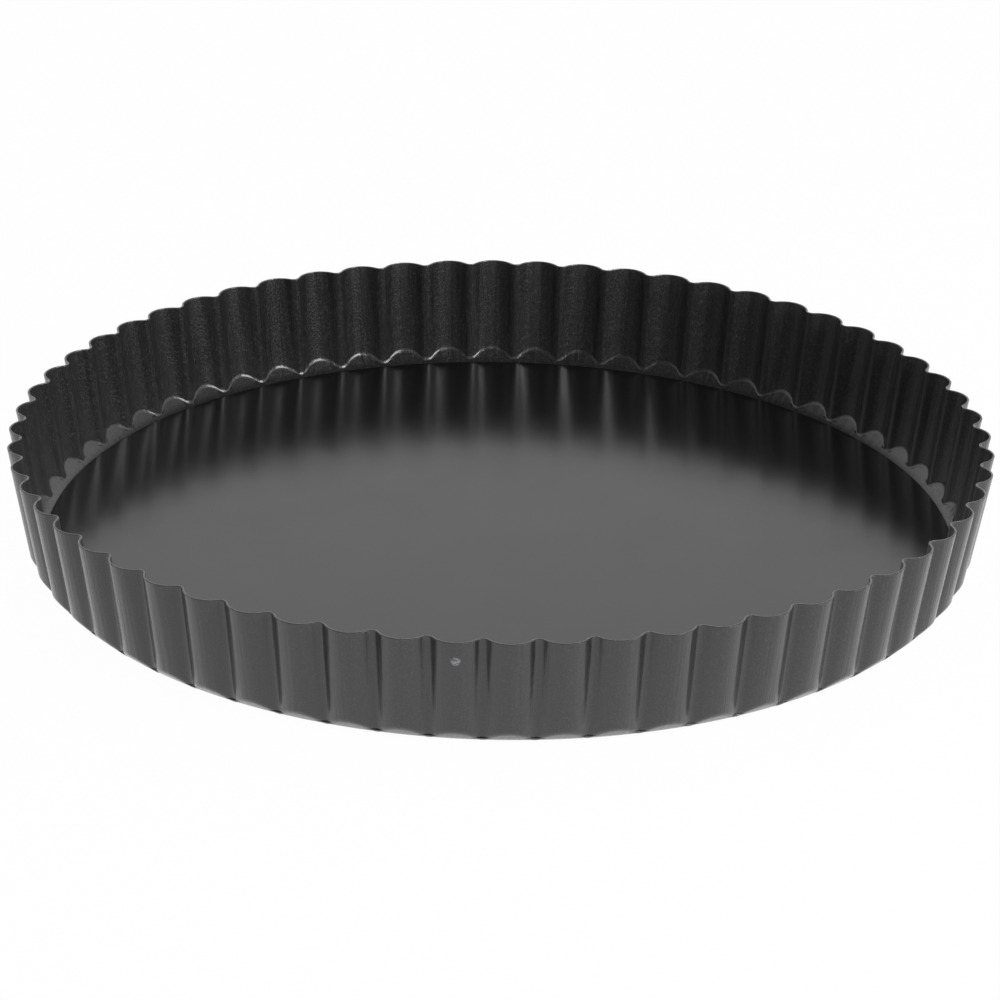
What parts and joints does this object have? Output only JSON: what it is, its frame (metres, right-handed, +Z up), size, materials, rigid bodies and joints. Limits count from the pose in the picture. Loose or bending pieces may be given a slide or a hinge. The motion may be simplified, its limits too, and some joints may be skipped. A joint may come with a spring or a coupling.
{
  "type": "tart pan",
  "caption": "Round fluted tart pan with a leaning wall, a rounded foot and a loose flat base that lies in the foot, just above a flat ledge.",
  "frame": {"origin": "middle of the flat face that the pan rests on", "axes": "+Z up along the pan's axis, +X through the crest of one flute"},
  "size_m": [0.3, 0.3, 0.035],
  "materials": {
    "ring_coating": "dark charcoal non-stick coating with a fine grain, semi-gloss",
    "base_coating": "grey non-stick coating, smooth satin"
  },
  "bodies": {
    "ring": {"fluted_ring": "ring_coating"},
    "base": {"loose_base": "base_coating"}
  },
  "joints": [
    {"name": "base_lift", "type": "slide", "parent": "ring", "child": "base", "axis": [0, 0, 1], "range_m": [0, 0.06]}
  ]
}
